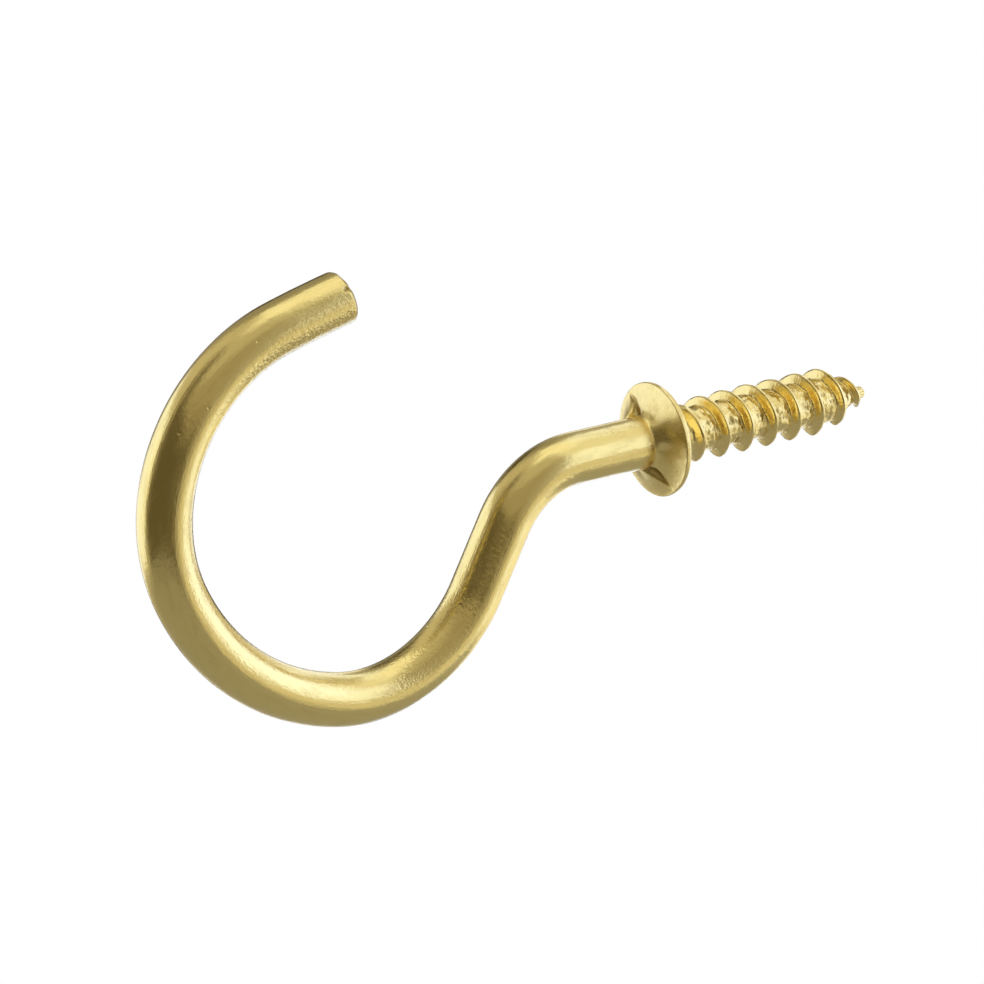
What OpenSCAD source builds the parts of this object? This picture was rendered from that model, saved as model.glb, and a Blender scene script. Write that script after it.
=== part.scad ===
// Shouldered cup hook, made in one piece from drawn brass wire: a collar upset
// on the shank, a wood thread rolled on one side of it, and an open loop bent on
// the other. It is modelled as it is fixed into an upright face.
// The origin is the centre of the collar's seat face. +X is the screw's axis, into
// the wood, and +Z is up. The hook lies in the XZ plane with its mouth upwards.

/* [Wire] */
// Diameter of the drawn wire
wire_d = 4; // [3.4:0.1:4.4]
// How much thinner the wire is drawn in its tight bends
bend_thinning = 0.02; // [0.01:0.01:0.2]
// Bevel left round the cut end of the hook
cut_bevel = 0.3; // [0.1:0.05:0.6]

/* [Hook] */
// Straight shank, from the seat face to the neck bend
shank_len = 7.7; // [5:0.1:12]
// Centreline radius of the neck bend
neck_r = 7; // [5:0.1:10]
// Angle of the neck bend
neck_angle = 62; // [50:1:70]
// Straight between the neck bend and the loop
neck_len = 5.3; // [3:0.1:9]
// Centreline radius of the loop's first bend, below the neck
lower_r = 11.3; // [10:0.1:14]
// Angle of the loop's first bend
lower_angle = 75; // [65:1:85]
// Centreline radius of the loop's flatter far side
far_r = 18.9; // [16:0.1:24]
// Angle of the far side
far_angle = 52.5; // [40:0.5:60]
// Centreline radius of the loop's last bend, towards the mouth
upper_r = 13.2; // [11:0.1:16]
// Angle of the last bend
upper_angle = 99; // [80:0.5:110]
// Straight at the cut end
tip_len = 5.6; // [1:0.1:7]

/* [Collar] */
// Diameter of the collar
collar_d = 8.7; // [7.8:0.1:12]
// Thickness of the collar's rim
rim_t = 0.3; // [0.25:0.05:1]
// Rounding of the rim's two edges
rim_round = 0.1; // [0.05:0.01:0.12]
// Height of the cone between the rim and the shank
cone_h = 1.35; // [0.75:0.05:2]
// Hollow between the cone and the shank
cone_fillet = 0.4; // [0.2:0.1:1]
// Thickness of the two ribs that the forging dies leave beside the shank
rib_t = 0.35; // [0.2:0.05:0.8]
// How far each rib runs along the shank, past the cone
rib_run = 1.1; // [0.3:0.1:2]
// Turn of the ribs out of the hook's plane
rib_turn = 44; // [0:1:90]

/* [Screw] */
// Length of the screw, from the seat face to its point
screw_len = 19.8; // [15:0.1:30]
// Diameter at the bottom of the thread
core_d = 3.4; // [2.6:0.1:3.6]
// Diameter over the thread
thread_d = 4.94; // [4.2:0.02:5.2]
// Distance from one turn of the thread to the next
pitch = 2.25; // [1.8:0.05:3]
// Width of the thread's foot, along the screw
foot_w = 0.85; // [0.6:0.05:1.4]
// Width of the thread's crest, along the screw
crest_w = 0.2; // [0.1:0.02:0.5]
// Length over which the thread rises to its full height
rise_len = 4.5; // [1:0.1:5]
// Length of the tapered point
point_len = 3.7; // [3:0.1:7]
// Diameter of the blunt end of the point
point_d = 0.9; // [0.4:0.05:1.2]
// Turn of the thread about the screw's axis
thread_turn = 85; // [0:5:355]
// Clearance between the thread's crest and the flat of the seat
seat_gap = 0.05; // [0.02:0.01:0.3]

/* [Hidden] */

wire_r = wire_d / 2;
collar_r = collar_d / 2;
core_r = core_d / 2;
thread_r = thread_d / 2;
point_r = point_d / 2;

// Where the collar's cone would meet the shank if nothing were hollowed there
cone_end = rim_t + cone_h;
cone_slope = atan2(collar_r - wire_r, cone_h);
// How far back from a corner an arc of this slope starts
corner_share = tan(cone_slope / 2);
// The hollow under the collar reaches out past the thread, so that the seat lies flat
seat_fillet = thread_r + seat_gap - core_r;

// The ribs start inside the shank and stop just inside the rim
rib_root = wire_r / 2;
rib_top = collar_r - rim_round;
rib_end = cone_end + rib_run;
rib_sag = (rib_top - wire_r) / 4;

// Where the thread starts and stops, how deep its foot is sunk in the core, and
// over what length it comes out of the core at each end
thread_from = seat_fillet / 2;
thread_to = screw_len - point_len / 10;
sunk = 0.2;
end_rise = pitch / 6;
steps_per_turn = 24;

// How far a thinned bend runs into the wire on either side of it
bend_lap = 0.1;
wire_facets = 64;
spindle_facets = 96;
arc_steps = 6;
brass = [0.80, 0.67, 0.33];

// ---- Sections, as points [place along the screw, radius] ------------------

// Points of an arc round a centre, from one angle to another
function arc(centre, r, from, to) =
    [for (i = [0:arc_steps])
        let (a = from + (to - from) * i / arc_steps)
        centre + r * [cos(a), sin(a)]];

// Radius of the core: the same all along, then a cone down to the point
function core_at(x) =
    let (into_point = max(x - (screw_len - point_len), 0) / point_len)
    core_r + (point_r - core_r) * min(into_point, 1);

// Hollow where the shank opens out into the collar's cone
function cone_hollow() =
    let (centre = [-cone_end - cone_fillet * corner_share, wire_r + cone_fillet])
    arc(centre, cone_fillet, 270, 270 + cone_slope);

// Rounded edges of the rim, first where the cone meets it, then round to the seat
function rim_edges() = concat(
    arc([-rim_t + rim_round * corner_share, collar_r - rim_round], rim_round, 90 + cone_slope, 90),
    arc([-rim_round, collar_r - rim_round], rim_round, 90, 0));

function seat_hollow() =
    arc([seat_fillet, core_r + seat_fillet], seat_fillet, 180, 270);

function spindle_section() = concat(
    [[-shank_len, 0], [-shank_len, wire_r]],
    cone_hollow(),
    rim_edges(),
    seat_hollow(),
    [[screw_len - point_len, core_r],
     [screw_len - point_r / 2, core_at(screw_len - point_r / 2)],
     [screw_len, point_r / 2],
     [screw_len, 0]]);

// ---- Thread ---------------------------------------------------------------

// Height of the thread's crest over the core: it rises from the collar, is full
// along the core, shrinks with the point, and dips under the skin at both ends
function crest_height(x) =
    let (full = thread_r - core_r,
         rise = min((x - thread_from + end_rise) / rise_len, 1),
         taper = core_at(x) / core_r,
         dip_in = min((x - thread_from) / end_rise, 1),
         dip_out = min((thread_to - x) / end_rise, 1))
    full * min(rise, taper) * min(dip_in, dip_out) - sunk * (1 - min(dip_in, dip_out));

// One section of the thread, across its run, at a distance x along the screw
function thread_ring(x) =
    let (angle = thread_turn + 360 * x / pitch,
         h = crest_height(x),
         size = core_at(x) / core_r,
         profile = [
             [-foot_w / 2 * size, -sunk],
             [-(foot_w + crest_w) / 4 * size, h * 0.55],
             [-crest_w / 2 * size, h],
             [crest_w / 2 * size, h],
             [(foot_w + crest_w) / 4 * size, h * 0.55],
             [foot_w / 2 * size, -sunk]])
    [for (p = profile)
        let (at = x + p[0], r = core_at(at) + p[1])
        [at, r * cos(angle), r * sin(angle)]];

module thread() {
    turns = (thread_to - thread_from) / pitch;
    steps = ceil(turns * steps_per_turn);
    rings = [for (i = [0:steps])
        thread_ring(thread_from + (thread_to - thread_from) * i / steps)];
    n = len(rings[0]);
    skin = [for (i = [0:steps - 1], j = [0:n - 1])
        let (k = (j + 1) % n, a = i * n + j, b = i * n + k)
        each [[a, b, b + n], [a, b + n, a + n]]];
    first_end = [for (j = [n - 1:-1:0]) j];
    last_end = [for (j = [0:n - 1]) steps * n + j];
    polyhedron(
        points = [for (ring = rings) each ring],
        faces = concat(skin, [first_end, last_end]));
}

// ---- Shank, collar and core -----------------------------------------------

module spindle() {
    rotate([0, 90, 0])
        rotate_extrude($fn = spindle_facets)
            polygon([for (p = spindle_section()) [p[1], p[0]]]);
}

// One rib: a thin web from the shank out to the rim, along the collar's cone
module rib() {
    rotate([90, 0, 0])
        linear_extrude(height = rib_t, center = true)
            polygon([
                [-rim_t, rib_root],
                [-rim_t, rib_top],
                [-(cone_end + rib_end) / 2, wire_r + rib_sag],
                [-rib_end, wire_r - rib_t / 2],
                [-rib_end, rib_root]]);
}

// ---- Hook -----------------------------------------------------------------
// Each of these draws one stretch of wire from the origin along +X, and carries
// what follows it to its far end. A tight bend is a hair thinner than the
// stretches beside it, and runs a little way into both.

module straight(length) {
    rotate([0, 90, 0])
        cylinder(d = wire_d, h = length, $fn = wire_facets);
    translate([length, 0, 0])
        children();
}

// side is 1 for a bend towards +Y and -1 for a bend towards -Y
module bend(r, angle, side, d, lap) {
    more = 360 * lap / (2 * PI * r);
    translate([0, side * r, 0]) {
        rotate([0, 0, (side > 0 ? -90 : 90 - angle) - more])
            rotate_extrude(angle = angle + 2 * more, $fn = 2 * wire_facets)
                translate([r, 0])
                    circle(d = d, $fn = wire_facets);
        rotate([0, 0, side * angle])
            translate([0, -side * r, 0])
                children();
    }
}

module tight_bend(r, angle, side) {
    bend(r, angle, side, wire_d - bend_thinning, bend_lap)
        children();
}

// The last straight, with the bevel that cropping leaves round its end
module cut_end(length) {
    rotate([0, 90, 0])
        rotate_extrude($fn = wire_facets)
            polygon([
                [0, 0],
                [wire_r, 0],
                [wire_r, length - cut_bevel],
                [wire_r - cut_bevel, length],
                [0, length]]);
}

module hook() {
    rotate([90, 0, 0])
        translate([-shank_len, 0, 0])
            rotate([0, 0, 180])
                tight_bend(neck_r, neck_angle, 1)
                    straight(neck_len)
                        tight_bend(lower_r, lower_angle, -1)
                            bend(far_r, far_angle, -1, wire_d, 0)
                                tight_bend(upper_r, upper_angle, -1)
                                    cut_end(tip_len);
}

module cup_hook() {
    color(brass)
        union() {
            hook();
            spindle();
            for (side = [0, 180])
                rotate([side - rib_turn, 0, 0])
                    rib();
            thread();
        }
}

cup_hook();
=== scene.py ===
"""Dressed model of a shouldered cup hook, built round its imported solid.

The real hook is one piece of drawn brass wire: its thread is rolled, its collar is
upset between two dies, and its loop is bent cold. So the dressed hook is one closed
skin too. A ring of edges is drawn out along the wire in both directions, and the
marks that the tools leave are then pressed into it.

The hook's sizes are in millimetres, and the finished skin is scaled to the frame's
metres. Along the wire, distances are positive into the wood and negative towards
the hook's cut end, and both start at the collar's seat.
"""

import logging
import math
from dataclasses import dataclass, field
from enum import Enum

import bmesh
import bpy
from mathutils import Matrix, Vector, noise


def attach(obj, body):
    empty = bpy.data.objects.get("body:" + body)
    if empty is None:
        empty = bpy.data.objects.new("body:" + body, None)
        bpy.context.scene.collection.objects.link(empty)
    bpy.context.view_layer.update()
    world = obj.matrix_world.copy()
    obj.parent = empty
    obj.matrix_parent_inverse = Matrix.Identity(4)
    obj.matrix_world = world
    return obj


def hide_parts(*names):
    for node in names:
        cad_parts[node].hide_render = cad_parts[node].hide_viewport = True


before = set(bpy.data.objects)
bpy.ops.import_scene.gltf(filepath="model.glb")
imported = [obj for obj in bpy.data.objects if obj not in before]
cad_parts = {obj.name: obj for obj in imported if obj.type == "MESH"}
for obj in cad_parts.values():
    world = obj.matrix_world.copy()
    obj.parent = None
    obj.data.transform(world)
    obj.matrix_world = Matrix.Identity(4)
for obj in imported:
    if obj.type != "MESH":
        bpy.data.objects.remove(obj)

LOG = logging.getLogger("cup_hook")
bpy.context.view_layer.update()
MM = 0.001
# Layers of the mesh: the place on the unbent wire, and how far the skin there is rolled,
# roughened by bending, or darkened: by painted shade in the collar's pockets, and by tarnish
# elsewhere
PLACE = "wire_place"
ROLLED = "rolled"
PEELED = "peeled"
SHADE_AND_TARNISH = "shade_and_tarnish"
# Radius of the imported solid's wire, and of the skin before its waves are pressed
SOLID_RADIUS = 2.0
WIRE_RADIUS = 1.985


# ---- Small helpers ------------------------------------------------------------


def linear(hex_colour: str) -> tuple[float, float, float, float]:
    """Turns an sRGB hex colour to the linear values that a shader takes.

    Args:
        hex_colour: Six hex digits, such as "d9b64c".

    Returns:
        Red, green, blue and an alpha of 1.
    """
    values = [int(hex_colour[i:i + 2], 16) / 255 for i in (0, 2, 4)]
    return (*[v / 12.92 if v <= 0.04045 else ((v + 0.055) / 1.055) ** 2.4 for v in values], 1.0)


def smooth(low: float, high: float, value: float) -> float:
    """Eases from 0 to 1 while a value goes from low to high.

    Args:
        low: Where the step starts.
        high: Where the step ends.
        value: The value to place on it.

    Returns:
        A share from 0 to 1.
    """
    t = min(max((value - low) / (high - low), 0.0), 1.0)
    return t * t * (3 - 2 * t)


def mix(a: float, b: float, share: float) -> float:
    """Goes from one value towards another.

    Args:
        a: The value at a share of 0.
        b: The value at a share of 1.
        share: How far to go.

    Returns:
        The value there.
    """
    return a + (b - a) * share


def off_angle(angle: float, at: float) -> float:
    """Measures how far an angle lies past another.

    Args:
        angle: The angle, in degrees.
        at: The other angle, in degrees.

    Returns:
        The difference, from -180 to 180 degrees.
    """
    return (angle - at + 180) % 360 - 180


@dataclass(frozen=True)
class Unevenness:
    """A smooth unevenness that is the same in every run.

    Attributes:
        depth: Its greatest height, about.
        size: Width of one hump, in millimetres.
        seed: Sets one unevenness apart from another.
        stretch: How many times longer a hump is along the wire.
    """

    depth: float
    size: float
    seed: float
    stretch: float = 1.0

    def at(self, place: Vector) -> float:
        """Gives the height at a place.

        Args:
            place: Where on the unbent wire, in millimetres.

        Returns:
            A height from about minus the depth to the depth.
        """
        spot = Vector((place.x / self.stretch, place.y, place.z)) / self.size
        return self.depth * noise.noise(spot + Vector((self.seed, 3 * self.seed, -self.seed)))


def make_object(bm: bmesh.types.BMesh, name: str) -> bpy.types.Object:
    """Makes an object of a finished mesh and adds it to the scene.

    Args:
        bm: The mesh, which is freed.
        name: Name of the object and of its mesh.

    Returns:
        The object.
    """
    mesh = bpy.data.meshes.new(name)
    bm.to_mesh(mesh)
    bm.free()
    made = bpy.data.objects.new(name, mesh)
    bpy.context.scene.collection.objects.link(made)
    return made


def add_node(
    tree: bpy.types.NodeTree, kind: str, links: dict | None = None, **settings
) -> bpy.types.Node:
    """Adds a node with its settings and its links.

    Args:
        tree: The node tree that the node joins.
        kind: The node's type, such as "ShaderNodeTexNoise".
        links: The output socket that feeds each input, by the input's name or number.
        **settings: Input values by name with _ for spaces, or the node's own settings.

    Returns:
        The new node.
    """
    node = tree.nodes.new(kind)
    for name, value in settings.items():
        socket = name.replace("_", " ")
        if hasattr(node, name):
            setattr(node, name, value)
        else:
            node.inputs[socket].default_value = value
    for socket, source in (links or {}).items():
        tree.links.new(source, node.inputs[socket])
    return node


# ---- Drawing the skin ---------------------------------------------------------


class Side(Enum):
    """Which way the wire turns, looking along +Y with the screw on the right."""

    LEFT = -1.0
    RIGHT = 1.0


class Skin:
    """A tube of skin that is drawn out from a ring of edges, one ring at a time."""

    def __init__(self, bm: bmesh.types.BMesh, ring: list, at: Vector, heading: Vector,
                 along: float, radius: float) -> None:
        """Takes up a ring that is already there.

        Args:
            bm: The mesh that the skin grows in.
            ring: The ring's edges.
            at: The ring's centre.
            heading: The way the skin grows, at right angles to the ring.
            along: How far along the wire the ring is, signed.
            radius: The ring's radius.
        """
        self.bm = bm
        self.ring = ring
        self.at = at.copy()
        self.heading = heading.copy()
        self.along = along
        self.way = 1.0 if heading.x > 0 else -1.0
        self.radius = radius
        self.layer = bm.verts.layers.float_vector[PLACE]

    def extrude(self, distance: float) -> list:
        """Grows one ring that still lies on the last one.

        Args:
            distance: How far along the wire it will be from the last ring.

        Returns:
            The new ring's vertices.
        """
        grown = bmesh.ops.extrude_edge_only(self.bm, edges=self.ring)["geom"]
        self.ring = [g for g in grown if isinstance(g, bmesh.types.BMEdge) and g.is_boundary]
        verts = [g for g in grown if isinstance(g, bmesh.types.BMVert)]
        self.along += self.way * distance
        for vert in verts:
            vert[self.layer].x = self.along
        return verts

    def push(self, distance: float, radius: float) -> list:
        """Draws the skin straight on by one ring.

        Args:
            distance: How far on the new ring lies.
            radius: The new ring's radius.

        Returns:
            The new ring's vertices.
        """
        verts = self.extrude(distance)
        self.at += self.heading * distance
        bmesh.ops.translate(self.bm, vec=self.heading * distance, verts=verts)
        share = radius / self.radius
        bmesh.ops.scale(self.bm, vec=(share, share, share),
                        space=Matrix.Translation(-self.at), verts=verts)
        for vert in verts:
            vert[self.layer].yz = vert[self.layer].yz * share
        self.radius = radius
        return verts

    def sweep(self, rings: int, length: float, centre: Vector, axis: Vector,
              angle: float) -> list:
        """Grows many rings at once, straight on or round a former.

        Args:
            rings: How many rings.
            length: Length of the stretch along the wire.
            centre: A point on the axis that the stretch swings round.
            axis: That axis.
            angle: How far it swings, in radians, or 0 to go straight on.

        Returns:
            The new rings' vertices.
        """
        step = Vector() if angle else self.heading * (length / rings)
        verts = list({vert for edge in self.ring for vert in edge.verts})
        before = len(self.bm.verts)
        grown = bmesh.ops.spin(self.bm, geom=verts + self.ring, cent=centre, axis=axis,
                               dvec=step, angle=angle, steps=rings)["geom_last"]
        self.ring = [g for g in grown if isinstance(g, bmesh.types.BMEdge)]
        self.bm.verts.ensure_lookup_table()
        fresh = list(self.bm.verts)[before:]
        for i, vert in enumerate(fresh):
            share = (i // len(verts) + 1) / rings
            vert[self.layer].x = self.along + self.way * length * share
        self.along += self.way * length
        turn = Matrix.Rotation(angle, 3, axis)
        self.at = centre + turn @ (self.at - centre) + step * rings
        self.heading = turn @ self.heading
        return fresh

    def draw(self, length: float, spacing: float) -> None:
        """Draws a straight stretch.

        Args:
            length: Length of the stretch.
            spacing: About how far apart its rings are.
        """
        far = self.sweep(1, length, self.at, self.heading, 0.0)
        ring = set(self.ring)
        sides = [edge for vert in far for edge in vert.link_edges if edge not in ring]
        bmesh.ops.subdivide_edges(self.bm, edges=sides, cuts=max(1, round(length / spacing) - 1))

    def bend(self, radius: float, angle: float, side: Side, spacing: float) -> None:
        """Swings the skin round a former.

        Args:
            radius: Radius of the bend's centreline.
            angle: Angle of the bend, in degrees.
            side: Which way the skin turns.
            spacing: About how far apart its rings are.
        """
        arc = radius * math.radians(angle)
        axis = Vector((0, side.value, 0))
        centre = self.at + radius * axis.cross(self.heading)
        self.sweep(max(1, round(arc / spacing)), arc, centre, axis, math.radians(angle))

    def close(self) -> None:
        """Gathers the last ring into one point."""
        verts = list({vert for edge in self.ring for vert in edge.verts})
        bmesh.ops.pointmerge(self.bm, verts=verts, merge_co=self.at)


# ---- The hook -----------------------------------------------------------------


@dataclass(frozen=True)
class Ring:
    """The round section of the wire, as a ring of vertices."""

    radius: float = WIRE_RADIUS
    count: int = 168
    # How strongly the vertices crowd towards the two ribs, and at what angle
    crowd: float = 0.5
    crowd_at: float = 46.0

    def open_skin(self, bm: bmesh.types.BMesh, at: Vector) -> list:
        """Makes the ring, crowded towards the two ribs, across the X axis.

        Args:
            bm: The mesh to make it in.
            at: The ring's centre.

        Returns:
            The ring's edges.
        """
        layer = bm.verts.layers.float_vector.new(PLACE)
        turned = Matrix.Translation(at) @ Matrix.Rotation(math.radians(90), 4, "Y")
        verts = bmesh.ops.create_circle(
            bm, segments=self.count, radius=self.radius, matrix=turned)["verts"]
        for vert in verts:
            angle = math.atan2(vert.co.z, vert.co.y)
            angle -= self.crowd / 2 * math.sin(2 * (angle - math.radians(self.crowd_at)))
            vert.co.y = self.radius * math.cos(angle)
            vert.co.z = self.radius * math.sin(angle)
            vert[layer] = vert.co
        return list(bm.edges)


@dataclass(frozen=True)
class Loop:
    """The shank, the bends of the hook and its cropped end."""

    shank: float = 7.7
    neck_radius: float = 7.0
    neck_angle: float = 62.0
    neck_straight: float = 5.3
    bends: tuple = ((11.3, 75.0), (18.9, 52.5), (13.2, 99.0))
    tip: float = 5.6
    # Rounding of the cropped end's edge, and the rings that draw it and the face
    edge: float = 0.34
    edge_rings: int = 7
    face_rings: int = 10
    # Spacing of the rings, and the finer spacing of a short run before the end
    spacing: float = 0.5
    fine: float = 0.08
    fine_run: float = 1.2
    # The waves of drawing and the unevenness of the crop, which fade in past the collar
    sway: Unevenness = Unevenness(0.014, 0.85, 3.1, stretch=9.0)
    ripple: Unevenness = Unevenness(0.005, 0.34, 8.2, stretch=3.0)
    burr: Unevenness = Unevenness(0.02, 0.35, 1.7)
    burr_span: tuple = (0.1, 0.64)
    plain_from: float = 3.2
    plain_fade: float = 1.2
    # The crop's nick: its angle, depth and reach, and the tarnish in it and along the edge
    nick_at: float = 217.0
    nick: float = 0.17
    nick_span: tuple = (0.0, 0.36)
    nick_stretch: float = 1.3
    nick_radii: tuple = (1.0, 1.6)
    soil: float = 0.85
    nick_soil: tuple = (0.1, 0.4)
    edge_soil: tuple = (0.18, 0.34)
    # How far the last straight is bent on inwards, at its end
    sag: float = 0.16
    # Orange peel: how far past a bend's ends it goes, which side it takes, its patches, and
    # the distance from the end within which it has no bare patches
    neck_ease: tuple = (-1.0, 1.0)
    loop_start: tuple = (-1.0, 2.0)
    loop_stop: tuple = (4.0, 9.0)
    inside: tuple = (-0.45, 0.5)
    patches: Unevenness = Unevenness(1.0, 2.6, 5.9)
    patch_span: tuple = (-0.4, 0.15)
    patch_share: float = 0.5
    whole_span: tuple = (14.0, 7.0)

    def draw(self, skin: Skin) -> None:
        """Draws the wire from the shank round to the cropped end.

        Args:
            skin: The skin at the shank's far end, heading away from the collar.
        """
        skin.bend(self.neck_radius, self.neck_angle, Side.LEFT, self.spacing)
        skin.draw(self.neck_straight, self.spacing)
        for radius, angle in self.bends:
            skin.bend(radius, angle, Side.RIGHT, self.spacing)
        skin.draw(self.tip - self.fine_run - self.edge, self.spacing)
        skin.draw(self.fine_run, self.fine)
        self.crop(skin)

    def crop(self, skin: Skin) -> None:
        """Rounds the edge of the cropped end and draws its face in.

        Args:
            skin: The skin where the end's rounded edge starts.
        """
        start = skin.radius
        last = 0.0
        for i in range(1, self.edge_rings + 1):
            angle = math.radians(90 * i / self.edge_rings)
            on = self.edge * math.sin(angle)
            skin.push(on - last, start - self.edge * (1 - math.cos(angle)))
            last = on
        flat = skin.radius
        for i in range(1, self.face_rings):
            skin.push(0.0, flat * (1 - i / self.face_rings))

    def bend_share(self, along: float) -> float:
        """Tells which way the wire bends.

        Args:
            along: How far along the wire, signed.

        Returns:
            1 where it bends as the loop does, -1 in the neck and 0 where it is straight.
        """
        neck_from = self.shank
        neck_to = neck_from + self.neck_radius * math.radians(self.neck_angle)
        loop_from = neck_to + self.neck_straight
        loop_to = loop_from + sum(r * math.radians(a) for r, a in self.bends)
        into_neck, out_of_neck, into_loop, out_of_loop = (
            smooth(edge + ease[0], edge + ease[1], -along)
            for edge, ease in ((neck_from, self.neck_ease), (neck_to, self.neck_ease),
                               (loop_from, self.loop_start), (loop_to, self.loop_stop)))
        return into_loop * (1 - out_of_loop) - into_neck * (1 - out_of_neck)

    def press(self, bm: bmesh.types.BMesh) -> None:
        """Leaves the faint waves of drawing and bending in the skin, and the crop's nick.

        Args:
            bm: The mesh, before it is scaled.
        """
        bm.normal_update()
        layer = bm.verts.layers.float_vector[PLACE]
        peeled = bm.verts.layers.float[PEELED]
        shade_and_tarnish = bm.verts.layers.float[SHADE_AND_TARNISH]
        end = min(vert[layer].x for vert in bm.verts)
        turned = math.radians(sum(angle for _, angle in self.bends) - self.neck_angle)
        inwards = Vector((math.sin(turned), 0, math.cos(turned)))
        for vert in bm.verts:
            place = vert[layer]
            fade = smooth(self.plain_from, self.plain_from + self.plain_fade, -place.x)
            if fade == 0:
                continue
            radius = place.yz.length
            from_end = place.x - end
            angle = math.degrees(math.atan2(place.z, place.y)) % 360
            off = math.hypot(math.radians(angle - self.nick_at) * radius,
                             (from_end - self.edge) / self.nick_stretch)
            nicked = (1 - smooth(*self.nick_span, off)) * smooth(*self.nick_radii, radius)
            wave = self.sway.at(place) + self.ripple.at(place)
            wave += self.burr.at(place) * (1 - smooth(*self.burr_span, from_end))
            wave -= self.nick * nicked
            near_end = max(0.0, 1 - from_end / self.tip)
            vert.co += (vert.normal * (wave - self.sway.depth) * fade
                        + inwards * self.sag * near_end ** 2)
            vert[shade_and_tarnish] = self.soil * (1 - min(smooth(*self.nick_soil, off),
                                                   smooth(*self.edge_soil, from_end)))
            inside = smooth(*self.inside, self.bend_share(place.x) * place.z / SOLID_RADIUS)
            patchy = self.patch_share * smooth(*self.patch_span, self.patches.at(place))
            vert[peeled] = fade * inside * mix(patchy, 1.0, smooth(*self.whole_span, from_end))


@dataclass(frozen=True)
class Rib:
    """A thin web that the dies leave beside the shank, between two pockets.

    Attributes:
        at: Its angle round the shank, in degrees.
        end: How far from the seat it meets the shank.
        hollow: How much the corner there is hollowed out.
        pockets: Half widths of the pockets before it and after it.
        flash: How far it stands out over the collar's cone.
        pocket_shade: How dark its pockets are painted, as painted shade.
    """

    at: float
    end: float
    hollow: float
    pockets: tuple
    flash: float
    pocket_shade: float


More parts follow.
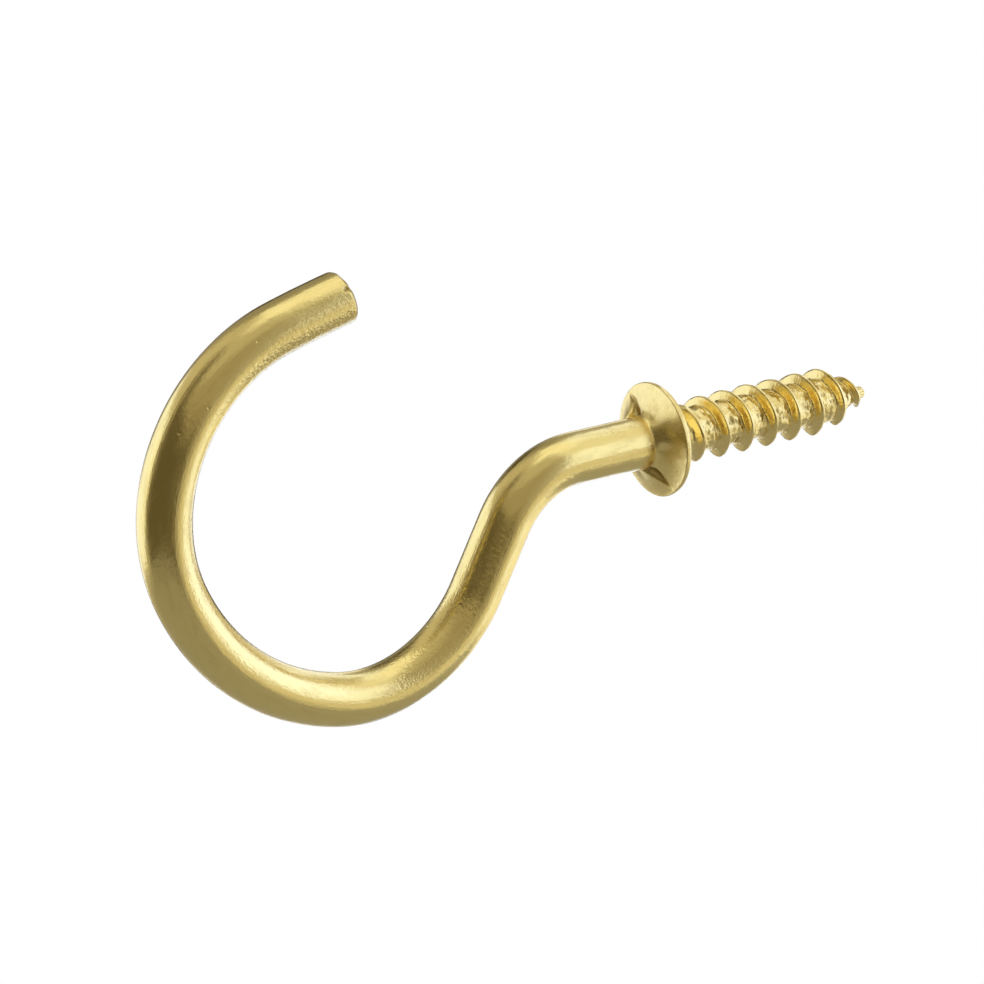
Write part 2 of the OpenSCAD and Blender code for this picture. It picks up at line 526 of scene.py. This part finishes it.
@dataclass(frozen=True)
class Collar:
    """The collar that two dies upset on the wire, with a rib where they met."""

    radius: float = 4.32
    # The rim is thicker on one side, where the dies met unevenly
    rim: float = 0.3
    rim_lean: float = 0.16
    lean_to: float = 150.0
    rim_round: float = 0.09
    rim_rings: int = 5
    # The cone: how far from the seat it meets the shank, how straight its slope is, the
    # hollow at its foot and its dents
    cone_end: float = 1.62
    dish: float = 0.35
    hollow: float = 0.03
    dents: Unevenness = Unevenness(0.03, 1.1, 6.3)
    # Between the two ribs it keeps that height on one side only, and is lower elsewhere
    steep_at: float = 150.0
    steep_span: tuple = (10.0, 34.0)
    low_end: float = 1.2
    low_hollow: float = 0.45
    # Each rib's last value is the painted shade that darkens its pockets
    ribs: tuple = (
        Rib(43.5, 1.62, 1.1, pockets=(0.26, 1.75), flash=0.05, pocket_shade=0.4),
        Rib(228.5, 1.2, 0.45, pockets=(0.0, 1.3), flash=0.0, pocket_shade=0.7),
    )
    rib_half: float = 0.06
    rib_flank: float = 0.08
    flash_fade: float = 0.5
    # The pockets: how far from the seat their floor meets the shank, their walls, their
    # greatest half width at the rim, and where their painted shade starts and stops, from the
    # rim at 0 to the shank at 1
    pocket_floor: float = 0.55
    pocket_wall: float = 0.2
    pocket_foot: float = 0.2
    shade_from: tuple = (0.0, 0.3)
    shade_to: tuple = (1.0, 0.85)
    # How far along the shank the ribs run, and the rings from there to the rim
    reach: float = 3.2
    stations: int = 56

    def face(self, share: float, floor: float, hollow: float) -> Vector:
        """Places a point on one profile of the collar's hook side.

        Args:
            share: From 0 at the rim to 1 on the shank, at the ribs' reach.
            floor: How far from the seat the profile meets the shank.
            hollow: How much the corner there is hollowed out.

        Returns:
            Distance from the seat, negative, and radius.
        """
        rim = Vector((-self.rim, self.radius - self.rim_round))
        corner = Vector((-floor, WIRE_RADIUS))
        end = Vector((-self.reach, WIRE_RADIUS))
        slope = (corner - rim).length
        run = (end - corner).length
        at = share * (slope + run)
        if at < slope - hollow:
            return self.dished(rim, corner, at / slope)
        if at > slope + hollow:
            return corner.lerp(end, (at - slope) / run)
        turn = (at - slope + hollow) / (2 * hollow)
        into = self.dished(rim, corner, 1 - hollow / slope)
        out = corner.lerp(end, hollow / run)
        return into.lerp(corner, turn).lerp(corner.lerp(out, turn), turn)

    def dished(self, rim: Vector, corner: Vector, share: float) -> Vector:
        """Places a point on the slightly hollow slope between the rim and the shank.

        Args:
            rim: Where the slope starts.
            corner: Where it ends.
            share: How far along it the point lies.

        Returns:
            Distance from the seat, negative, and radius.
        """
        point = rim.lerp(corner, share)
        point.x = mix(rim.x, corner.x, mix(share * share, share, self.dish))
        return point

    def lean(self, vert: bmesh.types.BMVert) -> float:
        """Tells how much thicker the rim is at a vertex than its mean.

        Args:
            vert: The vertex.

        Returns:
            The difference, in millimetres.
        """
        angle = math.atan2(vert.co.z, vert.co.y) - math.radians(self.lean_to)
        return self.rim_lean * math.cos(angle)

    def press(self, ring: list, share: float, shade_and_tarnish: bmesh.types.BMLayerItem) -> None:
        """Presses the ribs, and the pocket on either side of each, into one ring.

        Args:
            ring: The ring's vertices.
            share: Where the ring lies, as for the face.
            shade_and_tarnish: The layer that takes the pockets' painted shade.
        """
        plain = self.face(share, self.cone_end, self.hollow)
        floor = self.face(share, self.pocket_floor, self.hollow)
        low = self.face(share, self.low_end, self.low_hollow)
        crests = [(rib, self.face(share, rib.end, rib.hollow)) for rib in self.ribs]
        inwards = (self.radius - plain.y) / (self.radius - WIRE_RADIUS)
        # The pockets' painted shade is deepest between the rim and the shank
        shaded = smooth(*self.shade_from, inwards) * smooth(*self.shade_to, inwards)
        for vert in ring:
            angle = math.degrees(math.atan2(vert.co.z, vert.co.y)) % 360
            rib, crest = min(crests, key=lambda near: abs(off_angle(angle, near[0].at)))
            past = off_angle(angle, rib.at)
            half = rib.pockets[past > 0]
            half = mix(min(self.pocket_foot, half), half, min(inwards, 1))
            off = math.radians(abs(past)) * plain.y
            sunk = 1 - smooth(half - self.pocket_wall, half, off)
            raised = 1 - smooth(self.rib_half, self.rib_half + self.rib_flank, off)
            lowered = 0.0
            if self.ribs[0].at < angle < self.ribs[1].at:
                lowered = smooth(*self.steep_span, abs(angle - self.steep_at))
            place = plain.lerp(low, lowered).lerp(floor, sunk).lerp(crest, raised)
            spot = Vector((place.x, vert.co.y, vert.co.z))
            flash = smooth(self.reach, self.reach - self.flash_fade, -place.x)
            place.y += rib.flash * raised * flash
            place.x -= self.dents.at(spot) * (1 - inwards)
            # Painted shade: the pockets beside the ribs are painted darker
            vert[shade_and_tarnish] = rib.pocket_shade * sunk * (1 - raised) * shaded
            vert.co.x = place.x - self.lean(vert) * (1 - min(inwards, 1))
            vert.co.yz = vert.co.yz.normalized() * place.y

    def draw(self, skin: Skin) -> None:
        """Draws the hook side, the rim and the seat, up to the screw's hollow.

        Args:
            skin: The skin on the shank, at the ribs' reach, heading to the screw.
        """
        rings = []
        for i in range(self.stations - 1, -1, -1):
            share = i / self.stations
            place = self.face(share, self.cone_end, self.hollow)
            rings.append((skin.push(place.x - skin.at.x, place.y), share))
        front = []
        for i in range(1, self.rim_rings + 1):
            angle = math.radians(90 * i / self.rim_rings)
            front += skin.push(-self.rim + self.rim_round * (1 - math.cos(angle)) - skin.at.x,
                               self.radius - self.rim_round * (1 - math.sin(angle)))
        for i in range(self.rim_rings + 1):
            angle = math.radians(90 * i / self.rim_rings)
            skin.push(-self.rim_round * (1 - math.sin(angle)) - skin.at.x,
                      self.radius - self.rim_round * (1 - math.cos(angle)))
        shade_and_tarnish = skin.bm.verts.layers.float[SHADE_AND_TARNISH]
        for ring, share in rings:
            self.press(ring, share, shade_and_tarnish)
        for vert in front:
            vert.co.x -= self.lean(vert)


@dataclass(frozen=True)
class WoodScrew:
    """The rolled wood thread and its blunt point."""

    length: float = 19.8
    core: float = 1.7
    crest: float = 2.46
    pitch: float = 2.25
    turn: float = 85.0
    # Half width of a turn at its foot, wider on the first turns, and at its crest
    first_foot: float = 0.8
    foot: float = 0.4
    foot_span: tuple = (1.2, 4.2)
    top: float = 0.07
    # The thread starts at a share of its height, and is eased in and out at its two ends
    first: float = 0.39
    starts: float = 0.45
    full_at: float = 6.6
    lead_in: float = 0.7
    lead_out: float = 0.8
    # The core narrows to the blunt point, and the thread gets lower before it
    taper_from: float = 15.6
    taper_to: float = 19.7
    blunt: float = 0.46
    point_height: float = 0.7
    point_run: float = 1.8
    # The hollow under the collar, and the rings of the seat, of the hollow and of the point
    seat: float = 0.001
    hollow: float = 0.82
    seat_rings: int = 10
    hollow_rings: int = 9
    point_rings: int = 6
    # Spacing of the core's rings, which crowd towards the crest where the skin turns most
    spacing: float = 0.068
    crowd: float = 0.2
    crowd_in: float = 0.6
    crowd_out: tuple = (0.4, 1.2)
    # The crest wanders and is ragged, and is lower at the seams where the dies let go of it
    wander: Unevenness = Unevenness(0.06, 1.3, 3.7)
    ragged: Unevenness = Unevenness(0.07, 1.1, 4.4)
    seams: tuple = ((216.0, 0.25), (298.0, 0.17))
    seam_span: tuple = (6.0, 44.0)
    # The valley is crumpled, most of all on the upper side, and tarnished in its wrinkles
    valley_span: tuple = (0.0, 0.3)
    crumple: float = 0.085
    wrinkles: tuple = (Unevenness(1.0, 0.62, 7.1), Unevenness(0.5, 0.3, 2.3))
    faint: Unevenness = Unevenness(0.01, 0.5, 9.4)
    least_crumple: float = 0.3
    upper_span: tuple = (-0.9, 0.2)
    soil: float = 0.5
    soil_span: tuple = (0.25, 0.8)
    # One fold: its place along and round the screw, its depth, how short it is in both
    # directions, its walls, and its tarnish
    fold_at: tuple = (6.6, 218.0)
    fold: float = 0.32
    fold_squeeze: tuple = (1.5, 0.7)
    fold_span: tuple = (0.06, 0.34)
    fold_soil: float = 0.9
    fold_soil_span: tuple = (0.1, 0.34)
    # The screw is bent down a little towards its point
    droop: float = 0.08
    droop_from: float = 11.0
    # Where the skin counts as rolled: the valleys, a share of the flanks, past the collar
    crest_span: tuple = (0.7, 0.95)
    flank_share: float = 0.6
    rolled_span: tuple = (0.3, 1.2)

    def core_at(self, x: float) -> float:
        """Gives the core's radius.

        Args:
            x: Distance along the screw.

        Returns:
            The radius there.
        """
        return mix(self.core, self.blunt, smooth(self.taper_from, self.taper_to, x))

    def height_at(self, x: float) -> float:
        """Gives the height of the thread.

        Args:
            x: Distance along the screw.

        Returns:
            How far the crest stands over the core there.
        """
        rise = min(max((x - self.starts) / (self.full_at - self.starts), 0), 1)
        height = (self.crest - self.core) * mix(self.first, 1, 1 - (1 - rise) ** 2)
        height *= mix(1, self.point_height,
                      smooth(self.taper_from, self.taper_from + self.point_run, x))
        height *= smooth(0.0, self.lead_in, x)
        return height * (1 - smooth(self.length - self.lead_out, self.length, x))

    def crumpled(self, angle: float) -> float:
        """Tells how crumpled the valley is.

        Args:
            angle: Angle round the screw, in degrees.

        Returns:
            A share up to 1, which is greatest on the upper side.
        """
        return mix(self.least_crumple, 1.0,
                   smooth(*self.upper_span, math.sin(math.radians(angle))))

    def crowding(self, x: float, off: float) -> float:
        """Tells how far a ring is moved to crowd it towards the crest.

        Args:
            x: Distance along the screw.
            off: Distance along the screw from the nearest crest.

        Returns:
            How far it moves back.
        """
        eased = smooth(self.hollow, self.hollow + self.crowd_in, x)
        eased *= self.crowd * smooth(*(self.length - out for out in self.crowd_out), x)
        return eased * math.sin(2 * math.pi * off / self.pitch)

    def press(self, bm: bmesh.types.BMesh) -> None:
        """Rolls the thread into the core and the hollow under the collar.

        Args:
            bm: The mesh, while the core is still a plain rod.
        """
        place = bm.verts.layers.float_vector[PLACE]
        rolled = bm.verts.layers.float[ROLLED]
        shade_and_tarnish = bm.verts.layers.float[SHADE_AND_TARNISH]
        for vert in [vert for vert in bm.verts if vert[place].x > self.seat]:
            angle = math.degrees(math.atan2(vert.co.z, vert.co.y))
            turns = (vert.co.x / self.pitch) - (angle - self.turn) / 360
            off = (turns - round(turns)) * self.pitch
            height = self.height_at(vert.co.x - off)
            crowding = self.crowding(vert.co.x, off)
            vert.co.x -= crowding
            spot = vert.co.copy()
            off = off - crowding + self.wander.at(spot)
            foot = mix(self.first_foot, self.foot, smooth(*self.foot_span, spot.x))
            wave = 1 - smooth(self.top, foot, abs(off))
            flank = smooth(*self.valley_span, wave)
            valley = 1 - flank
            flank *= 1 - smooth(*self.crest_span, wave)
            wrinkle = sum(unevenness.at(spot) for unevenness in self.wrinkles)
            crumpled = self.crumpled(angle)
            seam = max(deep * (1 - smooth(*self.seam_span, abs(off_angle(angle, at))))
                       for at, deep in self.seams)
            height *= 1 - seam + self.ragged.at(spot)
            fold_off = math.hypot(
                (spot.x - self.fold_at[0]) * self.fold_squeeze[0],
                math.radians(off_angle(angle, self.fold_at[1])) * self.core * self.fold_squeeze[1])
            raised = self.core_at(spot.x) + height * wave
            raised += self.crumple * wrinkle * valley * crumpled + self.faint.at(spot)
            raised -= self.fold * (1 - smooth(*self.fold_span, fold_off))
            vert[shade_and_tarnish] = max(
                self.soil * valley * crumpled * smooth(*self.soil_span, -wrinkle),
                self.fold_soil * (1 - smooth(*self.fold_soil_span, fold_off)))
            vert[rolled] = (valley + self.flank_share * flank) * smooth(*self.rolled_span, spot.x)
            radius = vert.co.yz.length
            # In the hollow the thread only shows where it stands out of it
            if spot.x > self.hollow or raised > radius:
                vert.co.yz = vert.co.yz * (raised / radius)
            vert.co.z -= self.droop * smooth(self.droop_from, self.length, spot.x)

    def draw(self, skin: Skin, bm: bmesh.types.BMesh) -> None:
        """Draws the hollow under the collar, the core and the point, and rolls them.

        Args:
            skin: The skin at the rim's seat edge.
            bm: The mesh that it grows in.
        """
        inner = self.core + self.hollow
        outer = skin.radius
        for i in range(1, self.seat_rings + 1):
            skin.push(0.0, mix(outer, inner, i / self.seat_rings))
        for i in range(1, self.hollow_rings + 1):
            angle = math.radians(90 * i / self.hollow_rings)
            skin.push(self.hollow * (1 - math.cos(angle)) - skin.at.x,
                      inner - self.hollow * math.sin(angle))
        skin.draw(self.length - self.blunt / 2 - self.hollow, self.spacing)
        self.press(bm)
        skin.at.z -= self.droop
        skin.radius = self.core_at(skin.at.x)
        edge = skin.radius
        start = skin.at.x
        for i in range(1, self.point_rings):
            angle = math.radians(90 * i / self.point_rings)
            skin.push(start + self.blunt / 2 * math.sin(angle) - skin.at.x,
                      edge * math.cos(angle))


@dataclass
class CupHook:
    """The whole hook, drawn as one skin."""

    ring: Ring = field(default_factory=Ring)
    loop: Loop = field(default_factory=Loop)
    collar: Collar = field(default_factory=Collar)
    screw: WoodScrew = field(default_factory=WoodScrew)

    def build(self) -> bpy.types.Object:
        """Draws the hook both ways from the shank and closes its two ends.

        Returns:
            The finished piece.
        """
        bm = bmesh.new()
        start = Vector((-self.loop.shank, 0, 0))
        for name in (ROLLED, PEELED, SHADE_AND_TARNISH):
            bm.verts.layers.float.new(name)
        edges = self.ring.open_skin(bm, start)
        left = Skin(bm, edges, start, Vector((-1, 0, 0)), start.x, self.ring.radius)
        self.loop.draw(left)
        right = Skin(bm, edges, start, Vector((1, 0, 0)), start.x, self.ring.radius)
        right.draw(self.loop.shank - self.collar.reach, self.loop.spacing)
        self.collar.draw(right)
        self.screw.draw(right, bm)
        left.close()
        right.close()
        bmesh.ops.recalc_face_normals(bm, faces=bm.faces)
        self.loop.press(bm)
        bmesh.ops.scale(bm, vec=(MM, MM, MM), verts=bm.verts)
        for face in bm.faces:
            face.smooth = True
        return make_object(bm, "brass_cup_hook")


# ---- Brass --------------------------------------------------------------------


@dataclass(frozen=True)
class Relief:
    """A fine unevenness of the surface.

    Attributes:
        along: Size of a hump along the wire, in millimetres.
        across: Its size across the wire.
        detail: How many finer layers it has.
        depth: Its real depth in millimetres, where it is felt.
        harshness: How strong the finer layers are.
    """

    along: float
    across: float
    detail: float = 2.0
    depth: float = 0.0
    harshness: float = 0.55


@dataclass(frozen=True)
class Step:
    """A smooth step from one value to another.

    Attributes:
        start: Where the step starts.
        stop: Where it stops.
        low: What it gives before it.
        high: What it gives after it.
    """

    start: float
    stop: float
    low: float = 0.0
    high: float = 1.0

    def settings(self) -> dict:
        """Returns the settings of the node that makes the step."""
        return {"interpolation_type": "SMOOTHSTEP", "From_Min": self.start,
                "From_Max": self.stop, "To_Min": self.low, "To_Max": self.high}


@dataclass(frozen=True)
class DrawnBrass:
    """Yellow brass, drawn to a bright wire, then bent, upset and rolled cold."""

    colour: str = "f9e290"
    # Pressed clean, and partly a painted highlight that lifts the collar's and the screw's
    # highlights
    worked_highlight_colour: str = "fbe392"
    dull_colour: str = "ecd282"
    # Painted shade in the ribs' pockets, and tarnish along the crop, in the fold and in the
    # thread's wrinkles
    shade_and_tarnish_colour: str = "8e7334"
    streaks: Relief = Relief(6.0, 0.14, 3.0, 0.011)
    satin: Relief = Relief(1.6, 0.5, 4.0)
    peel: Relief = Relief(0.3, 0.22, depth=0.06)
    grain: Relief = Relief(0.35, 0.2, depth=0.012)
    scales: Relief = Relief(0.22, 0.4, depth=0.045)
    pitted: Relief = Relief(2.2, 2.2, 0.0)
    pitted_step: Step = Step(0.6, 0.7)
    pits_per_mm: float = 0.75
    pit_depth: float = 0.015
    pit_step: Step = Step(0.04, 0.1)
    # Places along the wire, in millimetres, and what changes there
    worked_step: Step = Step(-3.0, 0.5)
    matt_from: Step = Step(-2.0, -1.5, 0.0, 0.1)
    matt_to: Step = Step(-0.2, 0.3, 0.0, 0.1)
    # The satin's patches, as their colour and as their roughness
    dull_step: Step = Step(0.45, 0.75, 0.0, 0.5)
    shine_step: Step = Step(0.35, 0.75, 0.17, 0.28)

    def uneven(self, tree: bpy.types.NodeTree, place: bpy.types.NodeSocket,
               relief: Relief) -> bpy.types.NodeSocket:
        """Adds an unevenness whose humps have a real size along and across the wire.

        Args:
            tree: The material's node tree.
            place: The place on the unbent wire, in millimetres.
            relief: The unevenness.

        Returns:
            Its height from 0 to 1.
        """
        scale = (1 / relief.along, 1 / relief.across, 1 / relief.across)
        stretched = add_node(tree, "ShaderNodeMapping", {"Vector": place}, Scale=scale)
        humps = add_node(tree, "ShaderNodeTexNoise", {"Vector": stretched.outputs[0]},
                         Scale=1.0, Detail=relief.detail, Roughness=relief.harshness)
        return humps.outputs["Fac"]

    def surface(self, tree: bpy.types.NodeTree,
                place: bpy.types.NodeSocket) -> bpy.types.NodeSocket:
        """Adds the reliefs too fine for the mesh, each on top of the last.

        Args:
            tree: The material's node tree.
            place: The place on the unbent wire, in millimetres.

        Returns:
            The normal.
        """
        rolled, peeled = (
            add_node(tree, "ShaderNodeAttribute", attribute_name=name).outputs["Fac"]
            for name in (ROLLED, PEELED))
        # Drawing leaves long fine scratches, which give the wire its soft long highlights.
        # They really lie some hundredths of a millimetre apart, and are drawn coarser so
        # that they show. Cold bending roughens the skin into an orange peel on the inside
        # of a bend. A faint grain lies everywhere. Rolling tears the bottom of the thread
        # into short scales, which sparkle
        layers = [(self.uneven(tree, place, relief), relief.depth, share) for relief, share in (
            (self.streaks, None), (self.peel, peeled), (self.grain, None), (self.scales, rolled))]
        # Handling leaves a few small pits
        pits = add_node(tree, "ShaderNodeTexVoronoi", {"Vector": place}, Scale=self.pits_per_mm)
        pit = add_node(tree, "ShaderNodeMapRange", {"Value": pits.outputs["Distance"]},
                       **self.pit_step.settings())
        sparse = add_node(tree, "ShaderNodeMapRange",
                          {"Value": self.uneven(tree, place, self.pitted)},
                          **self.pitted_step.settings())
        layers.append((pit.outputs["Result"], self.pit_depth, sparse.outputs["Result"]))
        normal = None
        for height, depth, share in layers:
            links = {"Height": height}
            if normal:
                links["Normal"] = normal
            if share:
                links["Strength"] = share
            normal = add_node(tree, "ShaderNodeBump", links, Strength=1.0,
                              Distance=depth * MM).outputs[0]
        return normal

    def material(self) -> bpy.types.Material:
        """Makes the material.

        Returns:
            The material.
        """
        brass = bpy.data.materials.new("drawn_brass")
        brass.use_nodes = True
        tree = brass.node_tree
        shader = tree.nodes["Principled BSDF"]
        place = add_node(tree, "ShaderNodeAttribute", attribute_name=PLACE).outputs["Vector"]
        tree.links.new(self.surface(tree, place), shader.inputs["Normal"])

        # The collar and the screw are pressed clean and show a hair brighter than the wire, partly
        # as a painted highlight; the wire has duller satin patches where the drawing soap dried.
        # One dark colour paints shade into the pockets beside the ribs. Tarnish gathers where
        # nothing
        # rubs: in folds, in the thread's wrinkles and along the crop. The collar's slopes, between
        # the shank and the seat, are a little more matt than the drawn wire
        along = add_node(tree, "ShaderNodeSeparateXYZ", {"Vector": place}).outputs["X"]
        satin = self.uneven(tree, place, self.satin)
        worked, dull, shine, matt_from, matt_to = (
            add_node(tree, "ShaderNodeMapRange", {"Value": value},
                     **step.settings()).outputs["Result"]
            for value, step in ((along, self.worked_step), (satin, self.dull_step),
                                (satin, self.shine_step), (along, self.matt_from),
                                (along, self.matt_to)))
        shade_and_tarnish = add_node(tree, "ShaderNodeAttribute", attribute_name=SHADE_AND_TARNISH).outputs["Fac"]
        # The collar's and the screw's brighter colour is partly a painted highlight
        colour = add_node(tree, "ShaderNodeMix", {"Factor": worked}, data_type="RGBA",
                          A=linear(self.colour), B=linear(self.worked_highlight_colour))
        # The dark colour is painted shade in the ribs' pockets, and tarnish elsewhere
        for share, tone in ((dull, self.dull_colour), (shade_and_tarnish, self.shade_and_tarnish_colour)):
            colour = add_node(tree, "ShaderNodeMix",
                              {"Factor": share, "A": colour.outputs["Result"]},
                              data_type="RGBA", B=linear(tone))
        tree.links.new(colour.outputs["Result"], shader.inputs["Base Color"])
        matt = add_node(tree, "ShaderNodeMath", {0: shine, 1: matt_from}, operation="ADD")
        rough = add_node(tree, "ShaderNodeMath", {0: matt.outputs[0], 1: matt_to},
                         operation="SUBTRACT")
        tree.links.new(rough.outputs[0], shader.inputs["Roughness"])
        shader.inputs["Metallic"].default_value = 1.0
        return brass


# ---- Studio -------------------------------------------------------------------


WHITE = "ffffff"
WARM = "fff9ee"
DUSK = "fff3dd"
UMBER = "ffedcb"
COOL = "dbe3ff"
BLUE = "c7d3ff"


def direction(side: float, height: float) -> Vector:
    """Gives the direction from the hook at two angles.

    Args:
        side: The azimuth in degrees, 0 towards -Y.
        height: The elevation in degrees.

    Returns:
        The direction, of length 1.
    """
    side, height = math.radians(side), math.radians(height)
    return Vector((math.sin(side) * math.cos(height), -math.cos(side) * math.cos(height),
                   math.sin(height)))


@dataclass(frozen=True)
class Card:
    """An evenly lit card that stands round part of the hook.

    Its two upright edges are each given as an azimuth and two elevations, in degrees,
    as seen from the hook. Its distance is in millimetres.
    """

    name: str
    colour: str
    strength: float
    left: tuple
    right: tuple
    distance: float = 1000.0
    steps: int = 24

    def build(self) -> None:
        """Makes the card, out of the camera's sight."""
        bm = bmesh.new()
        verts = bmesh.ops.create_grid(
            bm, x_segments=self.steps, y_segments=self.steps, size=1.0)["verts"]
        for vert in verts:
            across, up = (vert.co.x + 1) / 2, (vert.co.y + 1) / 2
            side = mix(self.left[0], self.right[0], across)
            low = mix(self.left[1], self.right[1], across)
            high = mix(self.left[2], self.right[2], across)
            vert.co = direction(side, mix(low, high, up)) * self.distance * MM
        card = make_object(bm, self.name)
        card.visible_camera = False
        matt = bpy.data.materials.new(self.name)
        matt.use_nodes = True
        tree = matt.node_tree
        tree.nodes.remove(tree.nodes["Principled BSDF"])
        glow = add_node(tree, "ShaderNodeEmission", Color=linear(self.colour),
                        Strength=self.strength)
        tree.links.new(glow.outputs[0], tree.nodes["Material Output"].inputs["Surface"])
        card.data.materials.append(matt)


@dataclass(frozen=True)
class Studio:
    """The camera, the pale surroundings, the floor and the cards."""

    azimuth: float = -35.85
    elevation: float = 19.08
    distance: float = 373.6
    target: tuple = (-15.0, 0.0, -1.12)
    lens: float = 188.4
    sensor: float = 36.0
    nearest: float = 10.0
    floor_colour: str = "c3c0b7"
    floor_roughness: float = 0.9
    floor_drop: float = 150.0
    floor_radius: float = 235.0
    floor_shift: float = 85.0
    cards: tuple = (
        Card("room_end", UMBER, 0.26, (-114, -16, 42), (-104, -16, 41), 880.0),
        Card("room_left", UMBER, 0.115, (-104, -34, 41), (-60, -36, 32), 880.0),
        Card("table_edge", WARM, 0.45, (-122, -42, -16), (-104, -42, -16), 880.0),
        Card("table_left", WARM, 0.42, (-190, -46, -30), (-122, -46, -30), 880.0),
        Card("room_middle", UMBER, 0.115, (-60, -36, 32), (-22, -36, 10), 880.0),
        Card("room_right", UMBER, 0.13, (-22, -36, 10), (8, -34, -4), 880.0),
        Card("room_edge", WARM, 0.38, (8, -34, 30), (24, -30, 60), 890.0),
        Card("wall", DUSK, 0.36, (-123, 22, 50), (26, -6, 45), 950.0),
        Card("wall_corner", DUSK, 0.2, (-121, 38, 66), (-82, 34, 66), 940.0),
        Card("ceiling", WARM, 0.5, (-123, 45, 80), (26, 40, 80)),
        Card("ceiling_left", WARM, 0.56, (-182, 12, 80), (-123, 24, 80)),
        Card("soft_box_left", COOL, 1.5, (-182, -28, 16), (-123, -28, 26), 990.0),
        Card("soft_box_right", COOL, 1.48, (24, -30, 62), (141, -26, 62), 1100.0),
        Card("right_top", WHITE, 0.86, (24, 38, 60), (96, 38, 60), 1060.0),
        Card("right_low", WARM, 0.7, (24, -34, 0), (45, -34, -3), 1020.0),
        Card("lamp", BLUE, 2.1, (46, -20, 30), (90, -14, 28), 1050.0),
        Card("right_gap", WARM, 0.55, (86, 25, 50), (122, 25, 50)),
        Card("right_far", WARM, 0.72, (98, -14, 14), (124, -14, 14)),
        Card("low_card", BLUE, 2.0, (126, -50, -26), (150, -50, -26), 140.0),
        Card("back_card", WARM, 0.3, (150, -12, 60), (184, -12, 60), 950.0),
        Card("back_edge", WARM, 0.36, (135, 14, 58), (150, 14, 58), 950.0),
        Card("back_low", UMBER, 0.02, (120, -34, -6), (168, -34, -5), 900.0),
        Card("tip_flag", UMBER, 0.08, (170, 10, 32), (200, 10, 32), 60.0),
    )

    def add_camera(self) -> None:
        """Sets the camera at the viewing angle."""
        data = bpy.data.cameras.new("camera")
        data.lens = self.lens
        data.sensor_width = self.sensor
        data.clip_start = self.nearest * MM
        camera = bpy.data.objects.new("camera", data)
        bpy.context.scene.collection.objects.link(camera)
        back = direction(self.azimuth, self.elevation)
        camera.location = (Vector(self.target) + self.distance * back) * MM
        camera.rotation_euler = back.to_track_quat("Z", "Y").to_euler()
        bpy.context.scene.camera = camera

    def add_world(self) -> None:
        """Surrounds the hook with an even white."""
        world = bpy.data.worlds.new("white_tent")
        world.use_nodes = True
        background = world.node_tree.nodes["Background"]
        background.inputs["Color"].default_value = linear(WHITE)
        background.inputs["Strength"].default_value = 1.0
        bpy.context.scene.world = world

    def add_floor(self) -> None:
        """Lays a plain pale floor well below the hook."""
        bm = bmesh.new()
        towards = direction(self.azimuth, 0.0) * self.floor_shift
        at = Vector((self.target[0], 0, -self.floor_drop)) + towards
        bmesh.ops.create_circle(bm, cap_ends=True, segments=128,
                                radius=self.floor_radius * MM, matrix=Matrix.Translation(at * MM))
        floor = make_object(bm, "floor")
        # A matt painted board: it gives the wire's underside an even pale tone
        pale = bpy.data.materials.new("pale_floor")
        pale.use_nodes = True
        shader = pale.node_tree.nodes["Principled BSDF"]
        shader.inputs["Base Color"].default_value = linear(self.floor_colour)
        shader.inputs["Roughness"].default_value = self.floor_roughness
        floor.data.materials.append(pale)


def main() -> None:
    """Builds the studio and the hook."""
    logging.basicConfig(level=logging.INFO, format="%(message)s")
    scene = bpy.context.scene
    scene.view_settings.view_transform = "Standard"
    studio = Studio()
    studio.add_camera()
    studio.add_world()
    studio.add_floor()
    for card in studio.cards:
        card.build()
    hook = CupHook().build()
    hook.data.materials.append(DrawnBrass().material())
    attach(hook, "root")
    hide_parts("cup_hook")
    LOG.info("%s: %d vertices, %d faces", hook.name, len(hook.data.vertices),
             len(hook.data.polygons))


if __name__ == "__main__":
    main()
